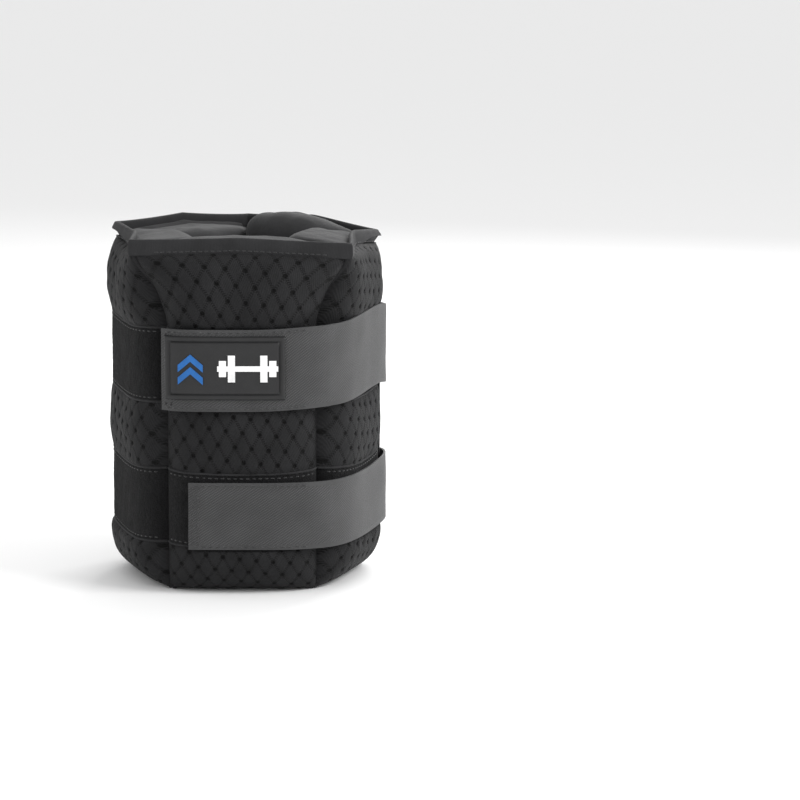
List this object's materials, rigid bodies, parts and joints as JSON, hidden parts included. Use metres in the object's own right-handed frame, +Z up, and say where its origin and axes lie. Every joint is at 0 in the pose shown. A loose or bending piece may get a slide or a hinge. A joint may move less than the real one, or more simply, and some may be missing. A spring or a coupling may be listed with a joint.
{
  "type": "ankle cuff weight",
  "caption": "Adjustable ankle cuff weight: hinged mesh pads ring the ankle, each pocket holds a removable sand bag under a flap, and wide hook-and-loop straps close it.",
  "frame": {"origin": "on the floor, under the middle of the closed cuff's box", "axes": "+Z is up along the leg, towards the rim; -Y is forwards, out of the front pad that carries the patch; +X is to the right as the patch is read"},
  "size_m": [0.16, 0.1594, 0.2],
  "materials": {
    "air_mesh": "matte",
    "neoprene": "matte",
    "binding": "matte",
    "loop_pile": "matte",
    "webbing": "satin",
    "hook_tape": "matte",
    "bag_cloth": "matte",
    "iron_sand": "matte",
    "patch_rubber": "satin",
    "mark_blue": "satin",
    "mark_white": "satin"
  },
  "bodies": {
    "front_pad": {"front_mesh_shell": "air_mesh", "front_lining": "neoprene", "front_edge_binding": "binding", "front_lower_loop_band": "loop_pile", "front_upper_loop_band": "loop_pile"},
    "front_bag": {"front_weight_bag": "bag_cloth", "front_iron_sand": "iron_sand"},
    "front_flap": {"front_pocket_flap": "neoprene", "front_flap_hook": "hook_tape"},
    "right_pad": {"right_mesh_shell": "air_mesh", "right_lining": "neoprene", "right_edge_binding": "binding", "right_lower_loop_band": "loop_pile", "right_upper_loop_band": "loop_pile", "right_end_binding": "binding"},
    "right_bag": {"right_weight_bag": "bag_cloth", "right_iron_sand": "iron_sand"},
    "right_flap": {"right_pocket_flap": "neoprene", "right_flap_hook": "hook_tape"},
    "back_right_pad": {"back_right_mesh_shell": "air_mesh", "back_right_lining": "neoprene", "back_right_edge_binding": "binding", "back_right_lower_loop_band": "loop_pile", "back_right_upper_loop_band": "loop_pile", "back_right_end_binding": "binding", "lower_strap_anchor": "webbing", "upper_strap_anchor": "webbing"},
    "back_right_bag": {"back_right_weight_bag": "bag_cloth", "back_right_iron_sand": "iron_sand"},
    "back_right_flap": {"back_right_pocket_flap": "neoprene", "back_right_flap_hook": "hook_tape"},
    "back_left_pad": {"back_left_mesh_shell": "air_mesh", "back_left_lining": "neoprene", "back_left_edge_binding": "binding", "back_left_lower_loop_band": "loop_pile", "back_left_upper_loop_band": "loop_pile"},
    "back_left_bag": {"back_left_weight_bag": "bag_cloth", "back_left_iron_sand": "iron_sand"},
    "back_left_flap": {"back_left_pocket_flap": "neoprene", "back_left_flap_hook": "hook_tape"},
    "left_pad": {"left_mesh_shell": "air_mesh", "left_lining": "neoprene", "left_edge_binding": "binding", "left_lower_loop_band": "loop_pile", "left_upper_loop_band": "loop_pile"},
    "left_bag": {"left_weight_bag": "bag_cloth", "left_iron_sand": "iron_sand"},
    "left_flap": {"left_pocket_flap": "neoprene", "left_flap_hook": "hook_tape"},
    "lower_side_length": {"lower_strap_side": "webbing"},
    "lower_front_length": {"lower_strap_front": "webbing", "lower_strap_hook": "hook_tape"},
    "upper_side_length": {"upper_strap_side": "webbing"},
    "upper_front_length": {"upper_strap_front": "webbing", "upper_strap_hook": "hook_tape", "patch": "patch_rubber", "patch_chevrons": "mark_blue", "patch_dumbbell": "mark_white"}
  },
  "joints": [
    {"name": "left_back_seam", "type": "hinge", "parent": "left_pad", "child": "back_left_pad", "pos_m": [-0.07612, 0.02311, 0.1], "axis": [0, 0, 1], "range_deg": [0, 72]},
    {"name": "back_seam", "type": "hinge", "parent": "back_left_pad", "child": "back_right_pad", "pos_m": [-0.00169, 0.07719, 0.1], "axis": [0, 0, 1], "range_deg": [0, 72]},
    {"name": "front_left_seam", "type": "hinge", "parent": "left_pad", "child": "front_pad", "pos_m": [-0.04769, -0.06438, 0.1], "axis": [0, 0, -1], "range_deg": [0, 72]},
    {"name": "front_right_seam", "type": "hinge", "parent": "front_pad", "child": "right_pad", "pos_m": [0.04431, -0.06438, 0.1], "axis": [0, 0, -1], "range_deg": [0, 72]},
    {"name": "lower_strap_lift", "type": "hinge", "parent": "back_right_pad", "child": "lower_side_length", "pos_m": [0.07351, 0.03438, 0.045], "axis": [0, 0, 1], "range_deg": [0, 172.8]},
    {"name": "lower_strap_peel", "type": "hinge", "parent": "lower_side_length", "child": "lower_front_length", "pos_m": [0.04787, -0.06928, 0.045], "axis": [0, 0, 1], "range_deg": [0, 110]},
    {"name": "upper_strap_lift", "type": "hinge", "parent": "back_right_pad", "child": "upper_side_length", "pos_m": [0.07351, 0.03438, 0.1275], "axis": [0, 0, 1], "range_deg": [0, 172.8]},
    {"name": "upper_strap_peel", "type": "hinge", "parent": "upper_side_length", "child": "upper_front_length", "pos_m": [0.04787, -0.06928, 0.1275], "axis": [0, 0, 1], "range_deg": [0, 110]},
    {"name": "front_bag_lift", "type": "slide", "parent": "front_pad", "child": "front_bag", "axis": [0, 0, 1], "range_m": [0, 0.048]},
    {"name": "front_flap_lift", "type": "hinge", "parent": "front_pad", "child": "front_flap", "pos_m": [-0.00169, -0.06788, 0.2], "axis": [1, 0, 0], "range_deg": [0, 172.8]},
    {"name": "right_bag_lift", "type": "slide", "parent": "right_pad", "child": "right_bag", "axis": [0, 0, 1], "range_m": [0, 0.048]},
    {"name": "right_flap_lift", "type": "hinge", "parent": "right_pad", "child": "right_flap", "pos_m": [0.06185, -0.02172, 0.2], "axis": [0.309, 0.9511, 0], "range_deg": [0, 172.8]},
    {"name": "back_right_bag_lift", "type": "slide", "parent": "back_right_pad", "child": "back_right_bag", "axis": [0, 0, 1], "range_m": [0, 0.048]},
    {"name": "back_right_flap_lift", "type": "hinge", "parent": "back_right_pad", "child": "back_right_flap", "pos_m": [0.03758, 0.05298, 0.2], "axis": [-0.809, 0.5878, 0], "range_deg": [0, 172.8]},
    {"name": "back_left_bag_lift", "type": "slide", "parent": "back_left_pad", "child": "back_left_bag", "axis": [0, 0, 1], "range_m": [0, 0.048]},
    {"name": "back_left_flap_lift", "type": "hinge", "parent": "back_left_pad", "child": "back_left_flap", "pos_m": [-0.04096, 0.05298, 0.2], "axis": [-0.809, -0.5878, 0], "range_deg": [0, 172.8]},
    {"name": "left_bag_lift", "type": "slide", "parent": "left_pad", "child": "left_bag", "axis": [0, 0, 1], "range_m": [0, 0.048]},
    {"name": "left_flap_lift", "type": "hinge", "parent": "left_pad", "child": "left_flap", "pos_m": [-0.06523, -0.02172, 0.2], "axis": [0.309, -0.9511, 0], "range_deg": [0, 172.8]}
  ],
  "couplings": [
    {"joint": "back_seam", "follows": "left_back_seam", "ratio": 1},
    {"joint": "front_left_seam", "follows": "left_back_seam", "ratio": 1},
    {"joint": "front_right_seam", "follows": "left_back_seam", "ratio": 1},
    {"joint": "lower_strap_lift", "follows": "left_back_seam", "ratio": 2.4},
    {"joint": "upper_strap_lift", "follows": "left_back_seam", "ratio": 2.4},
    {"joint": "front_flap_lift", "follows": "front_bag_lift", "rad_per_m": 62.832},
    {"joint": "right_flap_lift", "follows": "right_bag_lift", "rad_per_m": 62.832},
    {"joint": "back_right_flap_lift", "follows": "back_right_bag_lift", "rad_per_m": 62.832},
    {"joint": "back_left_flap_lift", "follows": "back_left_bag_lift", "rad_per_m": 62.832},
    {"joint": "left_flap_lift", "follows": "left_bag_lift", "rad_per_m": 62.832}
  ]
}
